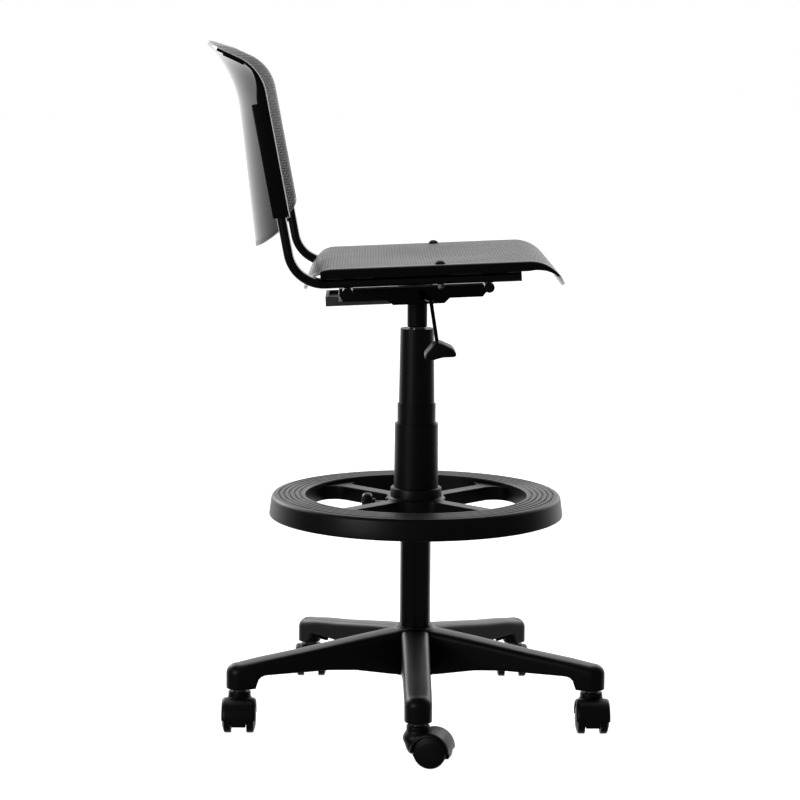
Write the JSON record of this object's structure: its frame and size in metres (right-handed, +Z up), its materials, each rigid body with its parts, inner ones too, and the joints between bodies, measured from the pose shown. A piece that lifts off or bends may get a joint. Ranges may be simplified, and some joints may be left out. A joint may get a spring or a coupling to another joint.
{
  "type": "drafting chair",
  "caption": "Armless drafting chair with a moulded seat and back on a bent oval-tube frame, a gas lift in telescopic covers, a round foot ring and a star base on twin-wheel casters.",
  "frame": {"origin": "middle of the chair's footprint box, on the floor", "axes": "+Z up, the chair faces -Y, the sitter's right is -X"},
  "size_m": [0.6296, 0.6458, 1.0949],
  "materials": {
    "polypropylene": "fine ribbed moulded texture, satin",
    "powder_coat": "semi-gloss black powder coat",
    "chrome": "bright hard chrome",
    "acetal": "natural acetal",
    "zinc_steel": "zinc plated",
    "wheel_nylon": "moulded, satin",
    "moulded_nylon": "glass-filled nylon, fine spark-eroded texture"
  },
  "bodies": {
    "base": {"base_star": "moulded_nylon", "column_tube": "powder_coat", "guide_bushing": "acetal", "piston_rod": "chrome", "thrust_bearing": "zinc_steel", "rod_clip": "zinc_steel"},
    "ring": {"foot_ring": "moulded_nylon", "lower_cover": "moulded_nylon"},
    "knob": {"clamp_knob": "moulded_nylon", "clamp_screw": "zinc_steel"},
    "middle": {"middle_cover": "moulded_nylon"},
    "lift": {"upper_cover": "moulded_nylon"},
    "seat": {"gas_cylinder": "chrome", "mechanism_plate": "powder_coat", "mechanism_socket": "powder_coat", "rear_bracket": "zinc_steel", "mechanism_bolts": "zinc_steel", "lever_pivot_pin": "zinc_steel", "left_side_tube": "powder_coat", "right_side_tube": "powder_coat", "front_crossbar": "powder_coat", "rear_crossbar": "powder_coat", "tube_end_caps": "moulded_nylon", "seat_shell": "polypropylene", "seat_bolts": "powder_coat", "seat_nuts": "zinc_steel", "backrest_shell": "polypropylene"},
    "valve": {"valve_pin": "zinc_steel"},
    "lever": {"lever_rod": "powder_coat", "lever_paddle": "moulded_nylon"},
    "caster_1": {"caster_1_hood": "moulded_nylon", "caster_1_stem": "zinc_steel", "caster_1_axle": "zinc_steel"},
    "caster_1_wheel_a": {"caster_1_wheel_a": "wheel_nylon"},
    "caster_1_wheel_b": {"caster_1_wheel_b": "wheel_nylon"},
    "caster_2": {"caster_2_hood": "moulded_nylon", "caster_2_stem": "zinc_steel", "caster_2_axle": "zinc_steel"},
    "caster_2_wheel_a": {"caster_2_wheel_a": "wheel_nylon"},
    "caster_2_wheel_b": {"caster_2_wheel_b": "wheel_nylon"},
    "caster_3": {"caster_3_hood": "moulded_nylon", "caster_3_stem": "zinc_steel", "caster_3_axle": "zinc_steel"},
    "caster_3_wheel_a": {"caster_3_wheel_a": "wheel_nylon"},
    "caster_3_wheel_b": {"caster_3_wheel_b": "wheel_nylon"},
    "caster_4": {"caster_4_hood": "moulded_nylon", "caster_4_stem": "zinc_steel", "caster_4_axle": "zinc_steel"},
    "caster_4_wheel_a": {"caster_4_wheel_a": "wheel_nylon"},
    "caster_4_wheel_b": {"caster_4_wheel_b": "wheel_nylon"},
    "caster_5": {"caster_5_hood": "moulded_nylon", "caster_5_stem": "zinc_steel", "caster_5_axle": "zinc_steel"},
    "caster_5_wheel_a": {"caster_5_wheel_a": "wheel_nylon"},
    "caster_5_wheel_b": {"caster_5_wheel_b": "wheel_nylon"}
  },
  "joints": [
    {"name": "ring_height", "type": "slide", "parent": "base", "child": "ring", "axis": [0, 0, 1], "range_m": [-0.065, 0]},
    {"name": "knob_turn", "type": "hinge", "parent": "ring", "child": "knob", "pos_m": [0.01834, 0.05788, 0.352], "axis": [0, 1, 0], "range_deg": [0, 540]},
    {"name": "middle_cover_slide", "type": "slide", "parent": "base", "child": "middle", "axis": [0, 0, 1], "range_m": [-0.0301, 0.0026]},
    {"name": "seat_height", "type": "slide", "parent": "base", "child": "lift", "axis": [0, 0, 1], "range_m": [-0.12, 0.01]},
    {"name": "seat_swivel", "type": "hinge", "parent": "lift", "child": "seat", "pos_m": [0.01834, -0.01312, 0.5], "axis": [0, 0, 1], "continuous": true},
    {"name": "lever_lift", "type": "hinge", "parent": "seat", "child": "lever", "pos_m": [-0.01166, -0.01312, 0.6968], "axis": [0, 1, 0], "range_deg": [0, 6], "stiffness_Nm_per_rad": 1.5},
    {"name": "valve_press", "type": "slide", "parent": "seat", "child": "valve", "axis": [0, 0, 1], "range_m": [-0.0035, 0]},
    {"name": "caster_1_swivel", "type": "hinge", "parent": "base", "child": "caster_1", "pos_m": [-0.27866, -0.01312, 0.06], "axis": [0, 0, 1], "continuous": true},
    {"name": "caster_1_roll_a", "type": "hinge", "parent": "caster_1", "child": "caster_1_wheel_a", "pos_m": [-0.28449, -0.03485, 0.0255], "axis": [0.9659, -0.2588, 0], "continuous": true},
    {"name": "caster_1_roll_b", "type": "hinge", "parent": "caster_1", "child": "caster_1_wheel_b", "pos_m": [-0.28449, -0.03485, 0.0255], "axis": [0.9659, -0.2588, 0], "continuous": true},
    {"name": "caster_2_swivel", "type": "hinge", "parent": "base", "child": "caster_2", "pos_m": [-0.07344, -0.29558, 0.06], "axis": [0, 0, 1], "continuous": true},
    {"name": "caster_2_roll_a", "type": "hinge", "parent": "caster_2", "child": "caster_2_wheel_a", "pos_m": [-0.09594, -0.29558, 0.0255], "axis": [0, -1, 0], "continuous": true},
    {"name": "caster_2_roll_b", "type": "hinge", "parent": "caster_2", "child": "caster_2_wheel_b", "pos_m": [-0.09594, -0.29558, 0.0255], "axis": [0, -1, 0], "continuous": true},
    {"name": "caster_3_swivel", "type": "hinge", "parent": "base", "child": "caster_3", "pos_m": [0.25861, -0.18769, 0.06], "axis": [0, 0, 1], "continuous": true},
    {"name": "caster_3_roll_a", "type": "hinge", "parent": "caster_3", "child": "caster_3_wheel_a", "pos_m": [0.28111, -0.18769, 0.0255], "axis": [0, 1, 0], "continuous": true},
    {"name": "caster_3_roll_b", "type": "hinge", "parent": "caster_3", "child": "caster_3_wheel_b", "pos_m": [0.28111, -0.18769, 0.0255], "axis": [0, 1, 0], "continuous": true},
    {"name": "caster_4_swivel", "type": "hinge", "parent": "base", "child": "caster_4", "pos_m": [0.25861, 0.16145, 0.06], "axis": [0, 0, 1], "continuous": true},
    {"name": "caster_4_roll_a", "type": "hinge", "parent": "caster_4", "child": "caster_4_wheel_a", "pos_m": [0.28111, 0.16145, 0.0255], "axis": [0, 1, 0], "continuous": true},
    {"name": "caster_4_roll_b", "type": "hinge", "parent": "caster_4", "child": "caster_4_wheel_b", "pos_m": [0.28111, 0.16145, 0.0255], "axis": [0, 1, 0], "continuous": true},
    {"name": "caster_5_swivel", "type": "hinge", "parent": "base", "child": "caster_5", "pos_m": [-0.07344, 0.26935, 0.06], "axis": [0, 0, 1], "continuous": true},
    {"name": "caster_5_roll_a", "type": "hinge", "parent": "caster_5", "child": "caster_5_wheel_a", "pos_m": [-0.09594, 0.26935, 0.0255], "axis": [0, -1, 0], "continuous": true},
    {"name": "caster_5_roll_b", "type": "hinge", "parent": "caster_5", "child": "caster_5_wheel_b", "pos_m": [-0.09594, 0.26935, 0.0255], "axis": [0, -1, 0], "continuous": true}
  ],
  "couplings": [
    {"joint": "middle_cover_slide", "follows": "seat_height", "ratio": 0.25},
    {"joint": "valve_press", "follows": "lever_lift", "m_per_rad": -0.03}
  ]
}
